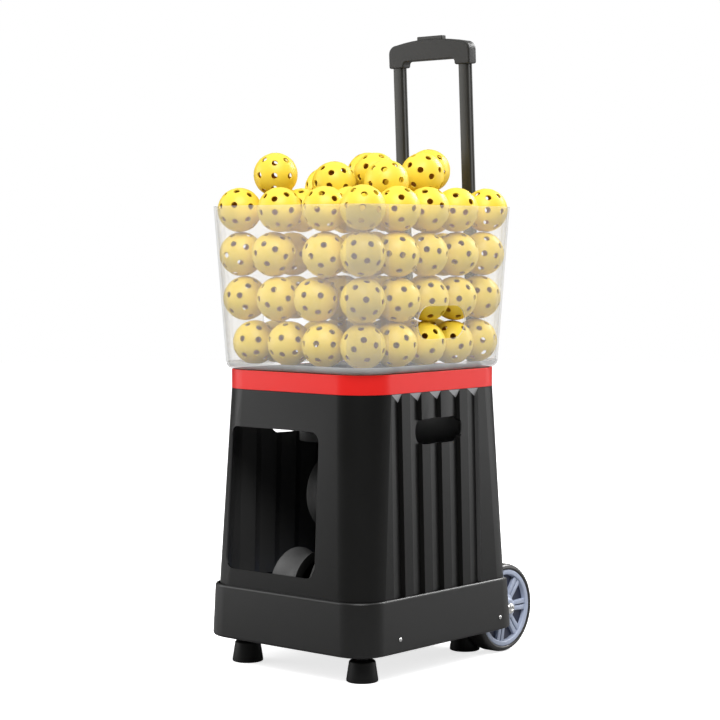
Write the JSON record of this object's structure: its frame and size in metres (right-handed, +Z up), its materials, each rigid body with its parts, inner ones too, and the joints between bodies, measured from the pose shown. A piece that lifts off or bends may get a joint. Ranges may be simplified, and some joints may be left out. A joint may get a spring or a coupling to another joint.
{
  "type": "ball throwing machine",
  "caption": "Wheeled ball-throwing machine with a clear lift-off hopper, telescopic handle, rotary ball feeder, sweeping launch head with throwing wheels, and a tapered body on rubber feet",
  "frame": {"origin": "on the ground under the centre of the whole machine's box", "axes": "+Z up, -Y towards the front with the launch window, +X to the right seen from the front"},
  "size_m": [0.3668, 0.4804, 1.0691],
  "materials": {
    "black_plastic": "satin moulded",
    "red_plastic": "semi gloss",
    "clear_plastic": "clear, slightly milky",
    "rubber": "matt",
    "throw_rubber": "worn matt",
    "rim_plastic": "satin moulded",
    "steel": "turned",
    "zinc_plate": "zinc plated sheet",
    "handle_metal": "black anodised",
    "motor_metal": "grey painted",
    "white_plastic": "plain moulded",
    "battery_plastic": "plain moulded"
  },
  "bodies": {
    "chassis": {"base_tray": "black_plastic", "chassis_pan": "zinc_plate", "body_shell": "black_plastic", "trim_band": "red_plastic", "top_deck": "black_plastic", "foot_front_left": "rubber", "foot_front_right": "rubber", "foot_rear_left": "rubber", "foot_rear_right": "rubber", "foot_stem_front_left": "zinc_plate", "foot_stem_front_right": "zinc_plate", "foot_stem_rear_left": "zinc_plate", "foot_stem_rear_right": "zinc_plate", "base_screw_front_left": "steel", "base_screw_front_right": "steel", "base_screw_rear_left": "steel", "base_screw_rear_right": "steel", "wheel_axle": "steel", "axle_bracket_left": "zinc_plate", "axle_bracket_right": "zinc_plate", "hub_cap_left": "steel", "hub_cap_right": "steel", "handle_sleeve_left": "handle_metal", "handle_sleeve_right": "handle_metal", "handle_bracket_upper": "black_plastic", "handle_bracket_lower": "black_plastic", "feeder_pan": "black_plastic", "feeder_motor": "motor_metal", "swivel_retainer": "black_plastic", "sweep_motor": "motor_metal", "battery": "battery_plastic", "controller_box": "black_plastic", "control_panel": "black_plastic", "charge_socket": "black_plastic"},
    "hopper": {"hopper_tub": "clear_plastic"},
    "handle": {"handle_tube_left": "handle_metal", "handle_tube_right": "handle_metal", "handle_grip": "black_plastic"},
    "handle_button": {"release_button": "handle_metal"},
    "wheel_left": {"tyre_left": "rubber", "rim_left": "rim_plastic"},
    "wheel_right": {"tyre_right": "rubber", "rim_right": "rim_plastic"},
    "feeder": {"feeder_rotor": "white_plastic"},
    "sweep": {"sweep_yoke": "zinc_plate", "swivel_ring": "white_plastic", "drop_chute": "black_plastic", "elevation_motor": "motor_metal"},
    "sweep_drive": {"sweep_drive_wheel": "throw_rubber"},
    "launch_head": {"head_plate": "zinc_plate", "pivot_bush": "steel", "throw_motor_upper": "motor_metal", "throw_motor_lower": "motor_metal", "ball_guide": "black_plastic"},
    "throw_upper": {"throw_tyre_upper": "throw_rubber", "throw_hub_upper": "motor_metal"},
    "throw_lower": {"throw_tyre_lower": "throw_rubber", "throw_hub_lower": "motor_metal"},
    "power_rocker": {"power_switch": "red_plastic"}
  },
  "joints": [
    {"name": "hopper_lift", "type": "slide", "parent": "chassis", "child": "hopper", "axis": [0, -0.0504, 0.9987], "range_m": [0, 0.3]},
    {"name": "handle_slide", "type": "slide", "parent": "chassis", "child": "handle", "axis": [0, -0.0504, 0.9987], "range_m": [-0.34, 0]},
    {"name": "handle_button_press", "type": "slide", "parent": "handle", "child": "handle_button", "axis": [0, 0.0504, -0.9987], "range_m": [0, 0.003], "stiffness_N_per_m": 900},
    {"name": "wheel_left_spin", "type": "hinge", "parent": "chassis", "child": "wheel_left", "pos_m": [-0.14, 0.1643, 0.0766], "axis": [1, 0, 0], "continuous": true},
    {"name": "wheel_right_spin", "type": "hinge", "parent": "chassis", "child": "wheel_right", "pos_m": [0.14, 0.1643, 0.0766], "axis": [1, 0, 0], "continuous": true},
    {"name": "feeder_spin", "type": "hinge", "parent": "chassis", "child": "feeder", "pos_m": [0, -0.0297, 0.448], "axis": [0, 0, 1], "continuous": true},
    {"name": "sweep_turn", "type": "hinge", "parent": "chassis", "child": "sweep", "pos_m": [-0.01, 0.0453, 0.4135], "axis": [0, 0, 1], "range_deg": [-12, 12]},
    {"name": "sweep_drive_spin", "type": "hinge", "parent": "chassis", "child": "sweep_drive", "pos_m": [-0.098, 0.0003, 0.3725], "axis": [0, 0, 1], "range_deg": [-12, 12]},
    {"name": "elevation_turn", "type": "hinge", "parent": "sweep", "child": "launch_head", "pos_m": [-0.01, -0.1132, 0.2095], "axis": [1, 0, 0], "range_deg": [0, 31]},
    {"name": "throw_upper_spin", "type": "hinge", "parent": "launch_head", "child": "throw_upper", "pos_m": [-0.01, -0.0679, 0.2849], "axis": [1, 0, 0], "continuous": true},
    {"name": "throw_lower_spin", "type": "hinge", "parent": "launch_head", "child": "throw_lower", "pos_m": [-0.01, -0.1585, 0.1341], "axis": [1, 0, 0], "continuous": true},
    {"name": "power_rocker_tilt", "type": "hinge", "parent": "chassis", "child": "power_rocker", "pos_m": [0, 0.172, 0.2966], "axis": [1, 0, 0], "range_deg": [-8, 8]}
  ],
  "couplings": [
    {"joint": "sweep_drive_spin", "follows": "sweep_turn", "ratio": -0.7589}
  ]
}
